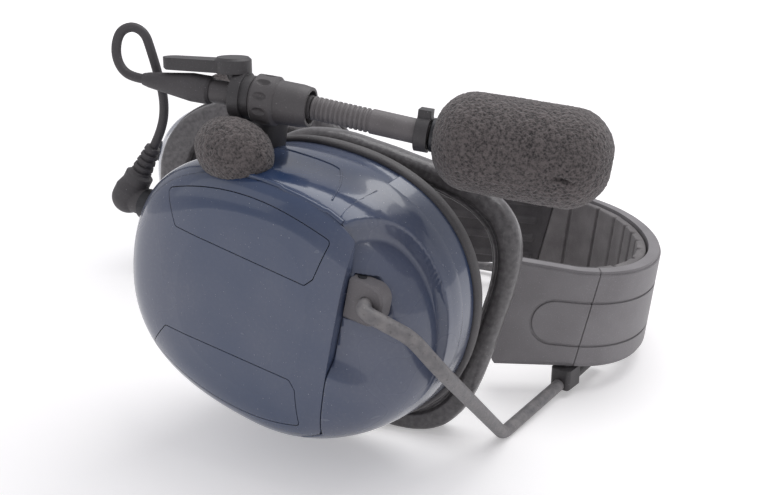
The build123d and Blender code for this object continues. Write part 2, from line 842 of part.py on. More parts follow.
def boom_bracket():
    """Swivel foot, arm, clamp collar and thumb lever, in the cup frame."""
    collar = turned([(collar_start, collar_radius), (collar_step, collar_radius), (collar_step, collar_flange_radius),
                     (collar_end, collar_flange_radius), (collar_end, thread_radius), (nut_half - 0.2, thread_radius)])
    collar = BOOM.location * collar
    ring_u = boom_centre[0] + boom_x.X * (collar_start + collar_step) / 2
    ring_w = boom_centre[2] + boom_x.Z * (collar_start + collar_step) / 2
    foot = rod(foot_radius, (foot_u, foot_low + 0.2, foot_w), (foot_u, socket_top + 2, foot_w))
    arm_low = socket_top + 0.4
    reach = math.hypot(ring_u - foot_u, ring_w - foot_w)
    turn = math.degrees(math.atan2(ring_u - foot_u, ring_w - foot_w))
    arm_plan = Pos(0, reach / 2 - 1) * SlotOverall(reach + arm_width - 2, arm_width, rotation=90)
    arm = extrude(arm_plan, amount=arm_thickness)
    seat = Plane(origin=(foot_u, arm_low + arm_thickness, foot_w), x_dir=(math.cos(math.radians(turn)), 0,
                 -math.sin(math.radians(turn))), z_dir=(0, -1, 0))
    arm = seat.location * arm
    hub = Vector(*lever_hub)
    tip = Vector(*lever_tip)
    bar_axis = (tip - hub).normalized()
    lever = Plane(origin=hub, x_dir=bar_axis, z_dir=Vector(0, 1, 0) - bar_axis * bar_axis.Y)
    length = (tip - hub).length
    half = lever_hub_height / 2
    plan = make_hull([Circle(lever_hub_radius * 0.72).edge(), (Pos(length, 0) * Circle(lever_tip_radius)).edge()])
    bar = Pos(0, 0, -half) * extrude(plan, amount=lever_hub_height * 0.8)
    disc = Pos(0, 0, -half) * Cylinder(lever_hub_radius, lever_hub_height, align=(Align.CENTER, Align.CENTER, Align.MIN))
    disc = chamfer(disc.edges().sort_by(Axis.Z)[-1], 0.8)
    web = rod(3.2, tuple(hub), tuple(BOOM.from_local_coords(Vector((collar_start + collar_step) / 2, 0, 3.0))))
    body = collar + foot + arm + lever.location * (bar + disc) + web
    bore = BOOM.location * rod(boom_radius + running, (-60, 0, 0), (20, 0, 0))
    tail_room = BOOM.location * rod(boot_radius + 0.6, (collar_start - 40, 0, 0), (collar_start, 0, 0))
    nut_room = BOOM.location * (rod(nut_radius + 2, (collar_end, 0, 0), (30, 0, 0)) - rod(thread_radius, (-60, 0, 0), (60, 0, 0)))
    return body - bore - tail_room - nut_room


def boom_nut():
    """Clamp nut with oval dimples and a conical nose."""
    nose = nut_half + nut_cone_length
    profile = [(-nut_half, nut_radius - 0.8), (-nut_half + 0.9, nut_radius), (nut_half - 0.9, nut_radius),
               (nut_half, nut_radius - 0.8), (nut_half, nut_cone_start), (nose - 3, nut_cone_end + 0.5), (nose, nut_cone_end)]
    nut = turned(profile)
    for i in range(nut_dimples):
        angle = 360 * i / nut_dimples
        tool = Pos(0, 0, nut_radius + 2.6) * scale(Sphere(1), by=(nut_half - 0.7, 1.9, 3.6))
        nut -= Rot(angle, 0, 0) * tool
    return nut - rod(thread_radius + running, (-10, 0, 0), (nose + 1, 0, 0))


def boom_tube():
    """Tube that slides in the clamp."""
    return rod(boom_radius, (boom_tail, 0, 0), (neck_start - foam_gap, 0, 0))


def tail_boot():
    """Tapered strain relief at the tail of the boom."""
    body = turned([(boot_end, boot_tip_radius), (boot_end + 2, boot_tip_radius + 0.5), (boom_tail - 7, boot_radius),
                   (boom_tail - 1, boot_radius), (boom_tail, boot_radius - 0.6)])
    return body


def gooseneck():
    """Flexible neck: ridged near the clamp, smooth towards the microphone."""
    length = neck_end - neck_start
    profile = [(0.0, neck_radius - 0.4)]
    for i in range(neck_ridges):
        x = i * neck_ridge_pitch
        profile += [(x + 0.3, neck_radius), (x + 0.9, neck_radius), (x + 1.2, neck_radius - 0.4), (x + 1.5, neck_radius - 0.4)]
    profile += [(neck_ridges * neck_ridge_pitch + 0.6, neck_radius + 0.1), (length, neck_radius + 0.1)]
    neck = turned(profile)
    return Pos(neck_start, 0, 0) * Rot(0, neck_sag, 0) * neck


def mic_capsule():
    """Microphone capsule inside the windscreen."""
    body = turned([(0.2, capsule_radius - 0.5), (0.7, capsule_radius), (capsule_length - 1, capsule_radius),
                   (capsule_length, capsule_radius - 1)])
    return MIC.location * body


def mic_windscreen():
    """Foam windscreen with a pocket for the capsule."""
    body = Pos(1.4, 0, 0) * Rot(0, 90, 0) * Cylinder(windscreen_radius, windscreen_length, align=(Align.CENTER, Align.CENTER, Align.MIN))
    ends = body.edges().filter_by(GeomType.CIRCLE).sort_by(Axis.X)
    body = fillet([ends[0], ends[-1]], windscreen_round)
    body -= rod(capsule_radius, (-1, 0, 0), (capsule_length, 0, 0))
    return MIC.location * body


def windscreen_clip():
    """Ring with a small tab that keeps the windscreen on."""
    ring = rod(capsule_radius + 0.4, (-clip_length, 0, 0), (-0.1, 0, 0))
    ring += block((-clip_length, -0.1), (-2.2, 2.2), (3, capsule_radius + 2.2))
    ring = MIC.location * ring
    return ring - gooseneck_core()


def gooseneck_core():
    """Plain bar the size of the smooth part of the gooseneck."""
    bar = rod(neck_radius + 0.1, (0, 0, 0), (neck_end - neck_start + 3, 0, 0))
    return Pos(neck_start, 0, 0) * Rot(0, neck_sag, 0) * bar


# ---------------------------------------------------------------- cord and plug
def plug_elbow():
    """Middle of the plug's elbow."""
    return cup_point(LEFT, jack_mouth - plug_elbow_out, jack_v, jack_w)


def mic_plug():
    """Right-angle plug in the left cup's jack."""
    elbow = plug_elbow()
    top = Vector(*plug_top)
    axis = top - elbow
    frame = Plane(origin=tuple(elbow), x_dir=axis, z_dir=Vector(0, 1, 0) - axis * (axis.Y / axis.length ** 2))
    length = axis.length
    relief = length - plug_relief_length
    profile = [(0, plug_elbow_radius), (3.0, plug_elbow_radius), (6.0, plug_body_radius), (relief - 2, plug_body_radius),
               (relief - 1, plug_relief_radius)]
    rings = 4
    pitch = plug_relief_length / rings
    for i in range(rings):
        x = relief - 1 + i * pitch
        taper = plug_relief_radius - 0.25 * i
        profile += [(x + 0.3 * pitch, taper), (x + 0.4 * pitch, taper - 0.7), (x + 0.7 * pitch, taper - 0.7), (x + 0.8 * pitch, taper)]
    profile += [(length, plug_relief_radius - 1.0)]
    body = frame.location * turned(profile)
    body += Pos(*elbow) * Sphere(plug_elbow_radius)
    shoulder = cup_point(LEFT, jack_mouth - 0.3, jack_v, jack_w)
    tip = cup_point(LEFT, jack_mouth + plug_pin_length, jack_v, jack_w)
    body += rod(4.4, tuple(elbow), tuple(shoulder))
    return body + rod(plug_pin_radius, tuple(elbow), tuple(tip))


def cord_points():
    """Corners of the cord, from the boom's boot to the plug."""
    start = [on_boom_point(boot_end), on_boom_point(boot_end - cord_lead)]
    top = Vector(*plug_top)
    lead = top + (top - plug_elbow()).normalized() * cord_lead * 1.6
    return start + [Vector(*p) for p in cord_route] + [lead, top]


def on_boom_point(s):
    """Place in the model of a point on the boom's axis."""
    local = BOOM.from_local_coords(Vector(s, 0, 0))
    return LEFT.from_local_coords(local)


def cord_radii(points):
    """The largest arc that fits at each corner of a route."""
    radii = []
    for before, here, after in zip(points, points[1:], points[2:]):
        run = min((here - before).length, (after - here).length)
        turn = (here - before).get_angle(after - here)
        radii.append(0.45 * run / math.tan(math.radians(turn / 2)))
    return radii


def mic_cord():
    """Free cord from the boom to the plug."""
    points = cord_points()
    radii = cord_radii(points)
    print("cord radii", [round(r, 1) for r in radii])
    print("cord runs", [round((b - a).length, 1) for a, b in zip(points, points[1:])])
    tube = bent([tuple(p) for p in points], radii, Circle(cord_radius))
    path = FilletPolyline(*[tuple(p) for p in points], radius=radii)
    print("cord volume", round(tube.volume, 1), "section times length", round(math.pi * cord_radius ** 2 * path.length, 1))
    return tube


# ---------------------------------------------------------------- the pieces
def write_headband():
    """Write the pieces of the headband."""
    crown, left_leg, right_leg, liners, crown_pad, spring, screws = band_pieces()
    place = BAND.location
    write("crown_cover", place * crown)
    write("left_band_leg", place * left_leg - guide_hole(True))
    write("right_band_leg", place * right_leg - guide_hole(False))
    write("left_leg_liner", place * band_side(liners, True))
    write("right_leg_liner", place * band_side(liners, False))
    write("crown_pad", place * crown_pad)
    write("spring_band", place * spring)
    write("band_screws", place * screws)


def write_cup(side):
    """Write the pieces that both cups have."""
    place = on_left if side == "left" else on_right
    left = side == "left"
    write(f"{side}_cup_shell", place(cup_shell(left)))
    write(f"{side}_rim_ring", place(rim_ring()))
    write(f"{side}_baffle_plate", place(baffle_plate()))
    write(f"{side}_baffle_screws", place(baffle_screws()))
    write(f"{side}_driver", place(driver()))
    write(f"{side}_foam_liner", place(foam_liner()))
    write(f"{side}_mic_nub", place(mic_nub()))
    write(f"{side}_mic_foam", place(mic_foam()))
    write(f"{side}_jack_socket", place(jack_socket()))
    write(f"{side}_cup_door", place(door()))
    write(f"{side}_front_button", place(button(1)))
    write(f"{side}_back_button", place(button(-1)))
    write(f"{side}_pivot_block", place(pivot_block()))
    write(f"{side}_pivot_pin", place(pivot_pin()))
    write(f"{side}_yoke_wire", yoke_wire(left))
    write(f"{side}_wire_sleeve", wire_sleeve(left))
    write(f"{side}_wire_guide", wire_guide(left))


def write_left_extras():
    """Write what only the left cup has."""
    write("circuit_board", on_left(circuit_board()))
    write("batteries", on_left(batteries()))
    write("boom_socket", on_left(boom_socket()))
    write("left_ear_cushion", on_left(left_cushion()))
    write("right_ear_cushion", on_right(right_cushion()))


def write_boom():
    """Write the microphone boom, its cord and its plug."""
    write("boom_bracket", on_left(boom_bracket()))
    write("boom_nut", on_boom(boom_nut()))
    write("boom_tube", on_boom(boom_tube()))
    write("tail_boot", on_boom(tail_boot()))
    write("gooseneck", on_boom(gooseneck()))
    write("mic_capsule", on_boom(mic_capsule()))
    write("mic_windscreen", on_boom(mic_windscreen()))
    write("windscreen_clip", on_boom(windscreen_clip()))
    write("mic_plug", mic_plug())
    write("mic_cord", mic_cord())


write_headband()
write_cup("left")
write_cup("right")
write_left_extras()
write_boom()
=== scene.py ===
import json
import math

import bmesh
import bpy
from mathutils import Matrix, Vector
from mathutils.bvhtree import BVHTree
from mathutils.kdtree import KDTree


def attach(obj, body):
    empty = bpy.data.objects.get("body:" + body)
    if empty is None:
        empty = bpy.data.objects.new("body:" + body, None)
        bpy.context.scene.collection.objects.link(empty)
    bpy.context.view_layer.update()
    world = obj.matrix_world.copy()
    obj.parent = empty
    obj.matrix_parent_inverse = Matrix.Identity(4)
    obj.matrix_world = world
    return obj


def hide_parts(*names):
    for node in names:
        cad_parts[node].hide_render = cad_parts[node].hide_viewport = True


# Communication ear-muffs on a white table. Lengths named here are millimetres, as in the CAD source;
# everything that reaches Blender is in metres.
MM = 0.001

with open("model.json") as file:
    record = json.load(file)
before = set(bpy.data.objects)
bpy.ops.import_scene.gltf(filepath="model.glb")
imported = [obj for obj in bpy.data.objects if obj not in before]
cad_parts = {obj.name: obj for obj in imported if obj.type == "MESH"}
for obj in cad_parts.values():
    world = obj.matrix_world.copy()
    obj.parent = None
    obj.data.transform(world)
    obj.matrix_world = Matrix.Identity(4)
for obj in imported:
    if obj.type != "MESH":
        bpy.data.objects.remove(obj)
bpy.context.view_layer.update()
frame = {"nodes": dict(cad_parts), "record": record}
nodes = frame["nodes"]


# ---------------------------------------------------------------- frames shared with the CAD
def place(origin, x_dir, z_dir):
    """Matrix of a frame with this origin, in millimetres, and these x and z directions."""
    z = Vector(z_dir).normalized()
    x = Vector(x_dir)
    x = (x - z * x.dot(z)).normalized()
    turn = Matrix((x, z.cross(x), z)).transposed()
    return Matrix.Translation(origin) @ turn.to_4x4()


LEFT = place((-8.6, -73.5, 55.2), (0.875, -0.447, -0.187), (-0.450, -0.893, 0.032))
RIGHT = place((-59.0, 86.8, 46.0), (1, 0, 0), (0, 1, 0)) @ Matrix.Diagonal((1, -1, 1, 1))
BOOM_AXIS = Vector((0.9695, 0.0742, -0.233)).normalized()
BOOM = LEFT @ place((-22.2, 57.9, 19.5), BOOM_AXIS, Vector((0, 1, 0)) - BOOM_AXIS * BOOM_AXIS.y)
NECK_START = 14.6
NECK_END = 51.0
NECK_SAG = math.radians(3.1)
MIC = BOOM @ Matrix.Translation((NECK_END, 0, -(NECK_END - NECK_START) * math.sin(NECK_SAG)))


# ---------------------------------------------------------------- shader arithmetic
class Signal:
    """A shader socket that plain arithmetic works on."""

    def __init__(self, shader, socket):
        self.shader = shader
        self.socket = socket

    def math(self, operation, *terms, clamp=False):
        settings = {"operation": operation, "use_clamp": clamp}
        return self.shader.node("ShaderNodeMath", settings, dict(enumerate(terms)))

    def __add__(self, other):
        return self.math("ADD", self, other)

    def __sub__(self, other):
        return self.math("SUBTRACT", self, other)

    def __mul__(self, other):
        return self.math("MULTIPLY", self, other)

    def __rsub__(self, other):
        return self.math("SUBTRACT", other, self)

    def __gt__(self, other):
        return self.math("GREATER_THAN", self, other)

    __radd__ = __add__
    __rmul__ = __mul__

    def clamped(self):
        return self.math("ADD", self, 0.0, clamp=True)

    def ramp(self, low, high):
        """0 below low, 1 above high, a straight line between."""
        return ((self - low) * (1.0 / (high - low))).clamped()


class Shader:
    """One node material with a Principled surface."""

    def __init__(self, name):
        self.material = bpy.data.materials.new(name)
        self.material.use_nodes = True
        self.tree = self.material.node_tree
        self.surface = self.tree.nodes["Principled BSDF"]
        coordinates = self.node("ShaderNodeTexCoord", {}, {}, "Object")
        self.mm = self.node("ShaderNodeMapping", {}, {"Vector": coordinates, "Scale": (1000, 1000, 1000)})

    def node(self, kind, settings, values, output=0):
        """Add a node: settings first, then the values or links of its sockets."""
        made = self.tree.nodes.new(kind)
        for key, value in settings.items():
            setattr(made, key, value)
        for key, value in values.items():
            if isinstance(value, Signal):
                self.tree.links.new(value.socket, made.inputs[key])
            else:
                made.inputs[key].default_value = value
        return Signal(self, made.outputs[output])

    def mix(self, share, a, b):
        """Blend of two colours."""
        a, b = [c if isinstance(c, Signal) else (*c, 1.0) for c in (a, b)]
        return self.node("ShaderNodeMix", {"data_type": "RGBA"}, {0: share, 6: a, 7: b}, 2)

    def noise(self, size, detail=2.0, vector=None, output="Fac"):
        """Noise with features of about this size in millimetres."""
        values = {"Vector": vector or self.mm, "Scale": 1.0 / size, "Detail": detail}
        return self.node("ShaderNodeTexNoise", {}, values, output)

    def cells(self, size, output="Distance", feature="F1", vector=None):
        """Voronoi cells of about this size in millimetres."""
        values = {"Vector": vector or self.mm, "Scale": 1.0 / size}
        return self.node("ShaderNodeTexVoronoi", {"feature": feature}, values, output)

    def stretched(self, turn, scale):
        """Coordinates turned and scaled, for streaks."""
        return self.node("ShaderNodeMapping", {}, {"Vector": self.mm, "Rotation": turn, "Scale": scale})

    def specks(self, size, share, radius=0.2):
        """Scattered dots: 1 inside a dot."""
        dots = (radius - self.cells(size)).ramp(0.0, radius * 0.5)
        pick = self.node("ShaderNodeSeparateColor", {}, {0: self.cells(size, "Color")})
        return dots * (pick > 1.0 - share)

    def bump(self, height, depth, normal=None):
        """Normal from a height field, depth in millimetres."""
        values = {"Height": height, "Distance": depth * MM, "Strength": 1.0}
        if normal:
            values["Normal"] = normal
        return self.node("ShaderNodeBump", {}, values)

    def soft_edge(self, radius):
        """Normal that rounds the edges of a moulding, radius in millimetres."""
        return self.node("ShaderNodeBevel", {"samples": 4}, {"Radius": radius * MM})

    def finish(self, **sockets):
        """Set the Principled sockets, names with _ for a space."""
        for key, value in sockets.items():
            socket = self.surface.inputs[key.replace("_", " ")]
            if isinstance(value, Signal):
                self.tree.links.new(value.socket, socket)
            else:
                socket.default_value = value
        return self.material


# ---------------------------------------------------------------- finishes
def gloss_shell():
    """Navy ABS with a dusty film, specks and fine scratches."""
    s = Shader("navy_gloss")
    film = s.noise(48, 2).ramp(0.36, 0.64)
    fine = s.noise(1.1, 3).ramp(0.5, 0.8)
    dust = (s.specks(2.4, 0.4, 0.08) + s.specks(0.9, 0.3, 0.12)).clamped()
    lines = s.noise(2.4, 1, s.stretched((0.3, 0.5, 0.9), (0.06, 1.6, 1.0))).ramp(0.76, 0.79)
    base = s.mix(film * 0.8, (0.034, 0.060, 0.134), (0.112, 0.127, 0.186))
    base = s.mix(fine * film * 0.3, base, (0.17, 0.185, 0.225))
    base = s.mix((dust * 0.55 + lines * 0.12).clamped(), base, (0.42, 0.44, 0.48))
    rough = film * 0.12 + dust * 0.3 + lines * 0.12 + 0.16
    normal = s.bump(s.noise(5.5, 1) * 0.8 + s.noise(0.5, 1) * 0.05, 0.02, s.soft_edge(0.35))
    return s.finish(Base_Color=base, Roughness=rough, Normal=normal, Coat_Weight=0.55, Coat_Roughness=0.06)


def moulded(name, dark, light, rough, grain, edge=0.3):
    """Satin plastic or rubber: blotchy colour, moulded grain, dusty specks and rounded edges."""
    s = Shader(name)
    blotch = s.noise(14, 3).ramp(0.3, 0.75)
    dust = (s.specks(1.6, 0.35, 0.11) + s.specks(0.7, 0.3, 0.15) * 0.6).clamped()
    fine = s.noise(0.45, 2)
    base = s.mix(blotch * 0.6, dark, light)
    base = s.mix(fine.ramp(0.58, 0.8) * 0.3, base, [min(1.0, 1.7 * c + 0.02) for c in light])
    base = s.mix(dust * 0.5, base, (0.45, 0.44, 0.44))
    normal = s.bump(fine + s.noise(2.5, 2) * 0.5, grain, s.soft_edge(edge))
    return s.finish(Base_Color=base, Roughness=blotch * 0.1 + fine * 0.12 + rough, Normal=normal)


def worn_sleeve():
    """Grey sleeve, rubbed lighter in patches, with dark scuffs."""
    s = Shader("worn_sleeve")
    rub = s.noise(3.0, 5).ramp(0.35, 0.7)
    scuff = s.noise(0.9, 4).ramp(0.58, 0.72)
    base = s.mix(rub, (0.165, 0.160, 0.168), (0.270, 0.255, 0.255))
    base = s.mix(scuff * 0.5, base, (0.07, 0.066, 0.068))
    base = s.mix(s.specks(1.4, 0.4, 0.14) * 0.6, base, (0.5, 0.48, 0.46))
    normal = s.bump(s.noise(0.8, 3) + scuff * 0.4, 0.10, s.soft_edge(0.2))
    return s.finish(Base_Color=base, Roughness=rub * 0.15 + 0.42, Normal=normal)


def leatherette():
    """Black padded leatherette with a fine pebble grain."""
    s = Shader("leatherette")
    pebble = s.cells(0.55, "Distance", "SMOOTH_F1")
    crease = s.noise(1.6, 3)
    base = s.mix(crease.ramp(0.35, 0.7), (0.085, 0.080, 0.083), (0.150, 0.141, 0.146))
    base = s.mix(s.specks(1.8, 0.35, 0.1) * 0.5, base, (0.4, 0.4, 0.4))
    normal = s.bump(pebble * 0.7 + crease * 0.8, 0.09)
    return s.finish(Base_Color=base, Roughness=crease * 0.12 + 0.30, Normal=normal, Coat_Weight=0.25,
                    Coat_Roughness=0.22)


def soft_pad(name, dark, light):
    """Matt padded cloth-like moulding."""
    s = Shader(name)
    weave = s.noise(0.35, 3)
    blotch = s.noise(11, 3).ramp(0.35, 0.7)
    base = s.mix(blotch, dark, light)
    base = s.mix(weave.ramp(0.55, 0.75) * 0.35, base, [1.6 * c for c in light])
    return s.finish(Base_Color=base, Roughness=0.78, Normal=s.bump(weave + s.noise(1.4, 3), 0.14),
                    Sheen_Weight=0.15)


def open_foam():
    """Open-cell foam: small round pores, darkened with painted shade between paler struts."""
    s = Shader("open_foam")
    pore = s.cells(0.95, "Distance", "SMOOTH_F1")
    small = s.cells(0.5)
    depth = (pore * 0.7 + small * 0.45 + s.noise(0.6, 3) * 0.4)
    # painted shade: the base colour goes near-black in the pore hollows, where the bump below is lowest
    base = s.mix(depth.ramp(0.42, 0.92), (0.020, 0.018, 0.019), (0.165, 0.142, 0.140))
    base = s.mix(s.noise(12, 3).ramp(0.4, 0.7) * 0.35, base, (0.165, 0.146, 0.143))
    base = s.mix(s.specks(2.2, 0.25, 0.07) * 0.5, base, (0.45, 0.43, 0.42))
    return s.finish(Base_Color=base, Roughness=0.92, Normal=s.bump(depth, 0.55), Sheen_Weight=0.25,
                    Sheen_Roughness=0.5)


def metal(name, colour, rough):
    """Drawn or turned metal with fine lines."""
    s = Shader(name)
    lines = s.noise(0.8, 2, s.stretched((0, 0, 0), (0.1, 1.5, 1.5)))
    base = s.mix(lines.ramp(0.3, 0.7), [0.8 * c for c in colour], colour)
    return s.finish(Base_Color=base, Metallic=1.0, Roughness=lines * 0.15 + rough,
                    Normal=s.bump(lines, 0.02, s.soft_edge(0.1)))


FINISHES = {
    "navy_shell": gloss_shell(),
    "black_plastic": moulded("black_satin", (0.050, 0.047, 0.050), (0.085, 0.080, 0.083), 0.36, 0.06),
    "grey_plastic": moulded("grey_satin", (0.150, 0.140, 0.147), (0.200, 0.188, 0.196), 0.40, 0.06),
    "rubber": moulded("soft_rubber", (0.066, 0.061, 0.065), (0.105, 0.098, 0.103), 0.48, 0.09, 0.5),
    "sleeve_grey": worn_sleeve(),
    "leatherette": leatherette(),
    "pad_grey": soft_pad("ribbed_pad", (0.062, 0.056, 0.060), (0.105, 0.097, 0.100)),
    "foam": open_foam(),
    "steel": metal("drawn_steel", (0.55, 0.55, 0.56), 0.25),
    "brass": metal("turned_brass", (0.75, 0.6, 0.3), 0.25),
    "board": moulded("circuit_board", (0.03, 0.16, 0.07), (0.05, 0.24, 0.1), 0.35, 0.03),
    "cell": moulded("cell_jacket", (0.30, 0.31, 0.33), (0.38, 0.39, 0.41), 0.3, 0.02),
    "aluminium": metal("pressed_aluminium", (0.6, 0.6, 0.61), 0.35),
}
SLOT_OF = {row["node"]: row["material_slot"] for row in frame["record"]["subparts"]}
DUSTY_BLACK = moulded("dusty_black", (0.088, 0.081, 0.084), (0.135, 0.127, 0.130), 0.40, 0.07)
NECK_GREY = moulded("neck_grey", (0.150, 0.138, 0.140), (0.230, 0.215, 0.218), 0.42, 0.05)
BAND_GREY = moulded("band_grey", (0.215, 0.203, 0.212), (0.310, 0.296, 0.308), 0.38, 0.06, 0.6)
RIM_BLACK = moulded("rim_black", (0.070, 0.066, 0.069), (0.150, 0.143, 0.147), 0.45, 0.12)
BLACKENED = metal("blackened_metal", (0.07, 0.07, 0.075), 0.4)
CROWN_GREY = soft_pad("crown_grey", (0.125, 0.115, 0.118), (0.190, 0.178, 0.180))
LINER_GREY = soft_pad("liner_grey", (0.050, 0.045, 0.049), (0.080, 0.074, 0.077))
OWN_FINISH = {
    "boom_nut": DUSTY_BLACK, "boom_tube": DUSTY_BLACK, "gooseneck": NECK_GREY, "crown_cover": BAND_GREY,
    "left_band_leg": BAND_GREY, "right_band_leg": BAND_GREY, "left_jack_socket": BLACKENED,
    "right_jack_socket": BLACKENED, "mic_capsule": BLACKENED, "left_pivot_pin": BLACKENED,
    "right_pivot_pin": BLACKENED,
}


# ---------------------------------------------------------------- mesh helpers
def dress(piece, body, slot, finish=None):
    """Give a piece its finish and the body that it moves with."""
    piece.data.materials.clear()
    piece.data.materials.append(finish or FINISHES[slot])
    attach(piece, body)
    return piece


def add_mesh(name, bm, smooth=True):
    """Turn a bmesh in metres into an object at the origin."""
    mesh = bpy.data.meshes.new(name)
    bm.to_mesh(mesh)
    bm.free()
    mesh.polygons.foreach_set("use_smooth", [smooth] * len(mesh.polygons))
    piece = bpy.data.objects.new(name, mesh)
    bpy.context.scene.collection.objects.link(piece)
    return piece


def modify(piece, kind, **settings):
    """Add a modifier."""
    made = piece.modifiers.new(kind.title(), kind)
    for key, value in settings.items():
        setattr(made, key, value)
    return made


def apply_all(piece):
    """Make what the modifiers show the piece's own mesh."""
    depsgraph = bpy.context.evaluated_depsgraph_get()
    mesh = bpy.data.meshes.new_from_object(piece.evaluated_get(depsgraph))
    piece.modifiers.clear()
    piece.data = mesh
    mesh.polygons.foreach_set("use_smooth", [True] * len(mesh.polygons))
    return piece


def skinned(name, matrix, around, rows, point):
    """Ring skinned over a loop of outlines: a circle is extruded row by row, and every point set."""
    bm = bmesh.new()
    bmesh.ops.create_circle(bm, segments=around, radius=1.0)
    turn = bm.verts.layers.float.new("turn")
    for vert in bm.verts:
        vert[turn] = math.atan2(vert.co.y, vert.co.x)
    edges = list(bm.edges)
    first = edges
    for vert in bm.verts:
        vert.co = matrix @ Vector(point(0, vert[turn])) * MM
    for row in range(1, rows):
        made = bmesh.ops.extrude_edge_only(bm, edges=edges)["geom"]
        verts = [v for v in made if isinstance(v, bmesh.types.BMVert)]
        edges = ring_edges([e for e in made if isinstance(e, bmesh.types.BMEdge)], verts)
        for vert in verts:
            vert.co = matrix @ Vector(point(row, vert[turn])) * MM
    bmesh.ops.bridge_loops(bm, edges=first + edges)
    bmesh.ops.recalc_face_normals(bm, faces=bm.faces)
    return add_mesh(name, bm)


def ring_edges(edges, verts):
    """The edges that join only these points."""
    members = set(verts)
    return [e for e in edges if e.verts[0] in members and e.verts[1] in members]


def copy_of(node, name):
    """Merged copy of a CAD node's mesh."""
    bm = bmesh.new()
    bm.from_mesh(nodes[node].data)
    bmesh.ops.remove_doubles(bm, verts=bm.verts, dist=1e-6)
    return add_mesh(name, bm)


def clouds(name, kind, size):
    """Procedural texture for displacement, size in millimetres."""
    texture = bpy.data.textures.new(name, kind)
    texture.noise_scale = size * MM
    return texture


def soft_copy(node, name, voxel, smooth):
    """A CAD solid remeshed evenly, with its edges worn round."""
    piece = copy_of(node, name)
    modify(piece, "REMESH", mode="VOXEL", voxel_size=voxel * MM)
    modify(piece, "SMOOTH", factor=0.5, iterations=smooth)
    return apply_all(piece)


for node, piece in nodes.items():
    piece.data.materials.clear()
    piece.data.materials.append(OWN_FINISH.get(node, FINISHES[SLOT_OF[node]]))


# ---------------------------------------------------------------- foam
def in_frame(matrix, change):
    """A change of shape that is written in a frame's own millimetres."""
    back = matrix.inverted()

    def moved(point):
        return matrix @ Vector(change(back @ (point / MM))) * MM

    return moved


BALL_MIDDLE = -26.0       # along the cup
BALL_ROOT = 37.0          # height of the wall that the ball sits on
BALL_LEAN = 4.0
SCREEN_HALF = 27.0        # half the windscreen's length
SLIT = (40.0, -3.0)       # middle of the cut in the windscreen's foam


def flatter_ball(p):
    """The ball is wide, leans to the wire's side, and sits low on its wall."""
    wider, lower = 1.07, 0.84
    along = BALL_MIDDLE + BALL_LEAN + (p.x - BALL_MIDDLE) * wider
    return (along, BALL_ROOT + (p.y - BALL_ROOT) * lower, p.z)


def waisted_windscreen(p):
    """Windscreen with a fuller front half, rounder at its free end, and a short cut in the foam."""
    share = (p.x - SCREEN_HALF) / SCREEN_HALF
    free_end = max(0.0, share - 0.5)
    clip_end = max(0.0, -share - 0.6)
    thin = 1.0 - 0.03 * share * share - 0.55 * free_end ** 2 - 0.4 * clip_end ** 2
    x, y, z = p.x * 0.985, p.y * thin, p.z * thin
    if y < 0:
        slit_half_length, slit_half_width, slit_depth, slit_slope = 2.6, 0.55, 1.9, 0.12
        along = (x - SLIT[0]) / slit_half_length
        across = (z - SLIT[1] + slit_slope * (x - SLIT[0])) / slit_half_width
        y += slit_depth * math.exp(-(along * along + across * across))
    return (x, y, z)


def foam_piece(node, name, body, voxel, shape=None):
    """Foam body with a surface of small open cells."""
    piece = soft_copy(node, name, voxel, 6)
    if shape:
        for vert in piece.data.vertices:
            vert.co = shape(vert.co)
    modify(piece, "DISPLACE", texture=clouds(name, "CLOUDS", 1.0), strength=0.45 * MM, mid_level=0.5)
    apply_all(piece)
    dress(piece, body, "foam")
    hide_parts(node)
    return piece


foam_piece("mic_windscreen", "foam_windscreen", "boom", 0.34, in_frame(MIC, waisted_windscreen))
foam_piece("left_mic_foam", "left_foam_ball", "left_cup", 0.3, in_frame(LEFT, flatter_ball))
foam_piece("right_mic_foam", "right_foam_ball", "right_cup", 0.4, in_frame(RIGHT, flatter_ball))


# ---------------------------------------------------------------- headband pads
for node, name in (("crown_pad", "soft_crown_pad"), ("left_leg_liner", "left_soft_liner"),
                   ("right_leg_liner", "right_soft_liner")):
    pad = soft_copy(node, name, 0.55, 5)
    dress(pad, "headband", "pad_grey", CROWN_GREY if node == "crown_pad" else LINER_GREY)
    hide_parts(node)


# ---------------------------------------------------------------- ear cushions
def superellipse(right, left, half_width, n_right, n_left, turn):
    """Point of an oval with different lengths and exponents on its two sides."""
    c = math.cos(turn)
    s = math.sin(turn)
    reach, n = (right, n_right) if c >= 0 else (left, n_left)
    return (reach * math.copysign(abs(c) ** (2 / n), c), half_width * math.copysign(abs(s) ** (2 / n), s))


def cushion(name, matrix, sizes, section, around):
    """Padded ring: the section's points are (outward, height), the oval grows by the first."""
    right, left, half_width, n_right, n_left = sizes

    def point(row, turn):
        out, height = section[row]
        x, y = superellipse(right + out, left + out, half_width + out, n_right, n_left, turn)
        return (x, y, height)

    return skinned(name, matrix, around, len(section), point)


def cushion_section(half, low, high):
    """Section of a cushion: a thin welded lip round the inside, a groove, and a rounded band."""
    section = [(-half, high - 1.6), (-half, high - 0.25), (-half + 0.45, high), (-half + 0.9, high - 0.3),
               (-half + 1.15, high - 1.5), (-half + 1.6, high - 1.6), (-half + 2.0, high - 0.75)]
    middle = (high + low) / 2
    rise = (high - low) / 2
    steps = 26
    for i in range(steps + 1):
        angle = math.radians(108 - (108 + 165) * i / steps)
        out = math.copysign(abs(math.cos(angle)) ** 0.7, math.cos(angle)) * half
        up = math.copysign(abs(math.sin(angle)) ** 0.8, math.sin(angle)) * rise
        section.append((out, middle + up))
    return section


